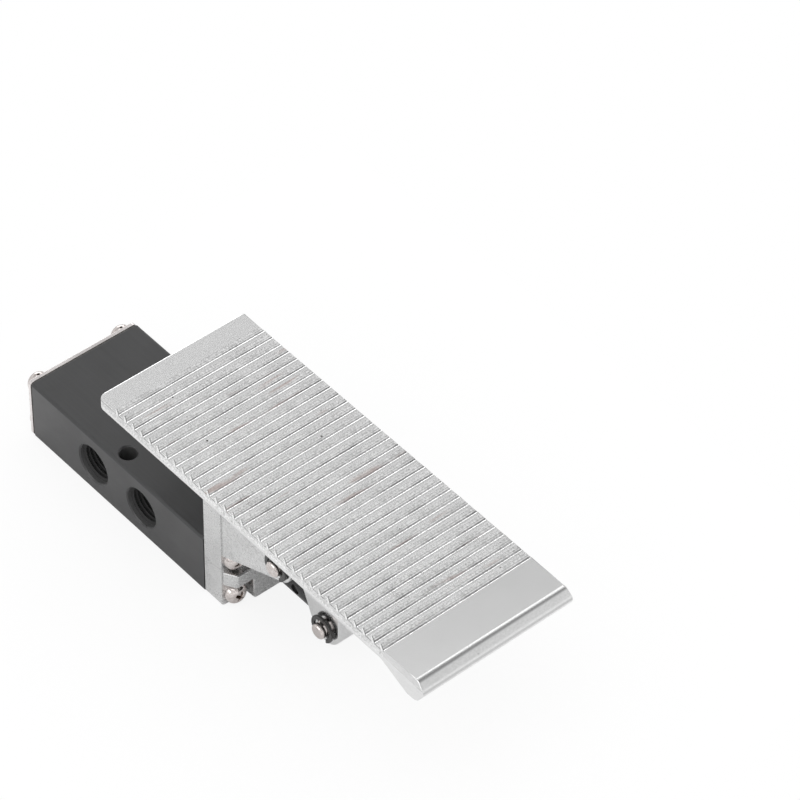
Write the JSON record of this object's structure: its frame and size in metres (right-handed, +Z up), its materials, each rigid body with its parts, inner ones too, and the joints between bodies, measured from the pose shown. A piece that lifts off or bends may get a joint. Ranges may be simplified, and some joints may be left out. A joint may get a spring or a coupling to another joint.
{
  "type": "foot pedal air valve",
  "caption": "Spool valve in a black block with threaded ports, worked by a grooved cast foot pedal on a cast bracket through a link, with a spring return.",
  "frame": {"origin": "centre of the valve block's bottom face, without the bracket", "axes": "+X forward to the pedal's lip, +Y to the side with three ports, +Z up"},
  "size_m": [0.1911, 0.0542, 0.0545],
  "materials": {
    "black_anodised": "black anodised, lightly brushed along the length",
    "cast_aluminium": "die cast, tumbled, slightly pitted",
    "plated_steel": "nickel plated",
    "blackened_steel": "black phosphate",
    "black_spool": "hard anodised, smooth",
    "turned_aluminium": "turned",
    "spring_steel": "drawn wire",
    "gasket_sheet": "matt sheet",
    "seal_rubber": "smooth moulded"
  },
  "bodies": {
    "valve": {"valve_body": "black_anodised", "rear_gasket": "gasket_sheet", "rear_end_plate": "plated_steel", "rear_end_screws": "plated_steel", "rear_spring_washers": "plated_steel", "front_gasket": "gasket_sheet", "front_bracket": "cast_aluminium", "bracket_screws": "plated_steel", "bracket_spring_washers": "plated_steel", "spool_spacers": "turned_aluminium", "spool_seals": "seal_rubber", "rear_guide": "turned_aluminium", "front_guide": "turned_aluminium", "rod_seal": "seal_rubber", "spring_seat": "turned_aluminium", "return_spring": "spring_steel", "pivot_pin": "plated_steel", "pivot_pin_clip": "blackened_steel"},
    "pedal_crank": {"pedal": "cast_aluminium", "link_pin": "plated_steel", "link_pin_clip": "blackened_steel"},
    "link": {"link_plate": "blackened_steel"},
    "spool_set": {"spool": "black_spool", "spool_cross_pin": "blackened_steel"}
  },
  "joints": [
    {"name": "pedal_hinge", "type": "hinge", "parent": "valve", "child": "pedal_crank", "pos_m": [0.07405, 0, 0.0381], "axis": [0, 1, 0], "range_deg": [0, 12.5], "stiffness_Nm_per_rad": 1.2, "springref_deg": -6.88},
    {"name": "link_hinge", "type": "hinge", "parent": "pedal_crank", "child": "link", "pos_m": [0.0831, 0, 0.01327], "axis": [0, 1, 0], "range_deg": [-8, 0]},
    {"name": "spool_slide", "type": "slide", "parent": "valve", "child": "spool_set", "axis": [-1, 0, 0], "range_m": [0, 0.0057], "deforming": ["return_spring"]}
  ],
  "couplings": [
    {"joint": "link_hinge", "follows": "pedal_hinge", "ratio": -0.625},
    {"joint": "spool_slide", "follows": "pedal_hinge", "m_per_rad": 0.026113}
  ]
}
